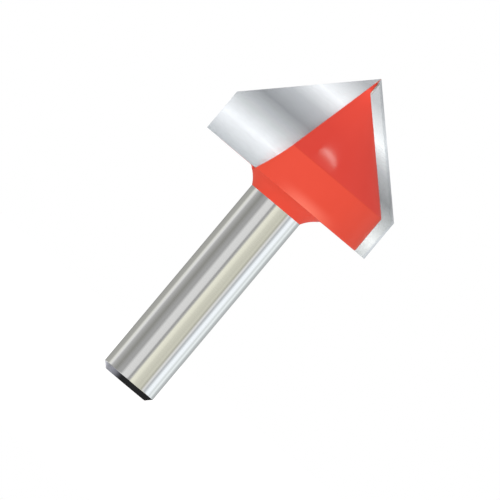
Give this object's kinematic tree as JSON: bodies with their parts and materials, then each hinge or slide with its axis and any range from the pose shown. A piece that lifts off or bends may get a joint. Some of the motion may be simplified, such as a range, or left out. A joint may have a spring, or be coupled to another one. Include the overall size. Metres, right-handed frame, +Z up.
{
  "type": "v groove router bit",
  "caption": "V groove router bit: a round shank, a turned steel head with milled flutes, and brazed carbide tips that meet in a right-angled point.",
  "frame": {"origin": "centre of the shank's end face, which the bit stands on", "axes": "+Z up the axis to the point; the tips' faces lie along the XZ plane, and the tip at -X faces -Y"},
  "size_m": [0.0418, 0.0372, 0.0813],
  "materials": {
    "coated_steel": "smooth red coating on the head, bare ground steel on the shank",
    "carbide": "finely ground carbide"
  },
  "bodies": {
    "root": {"steel_body": "coated_steel", "carbide_tip_1": "carbide", "carbide_tip_2": "carbide"}
  },
  "joints": []
}
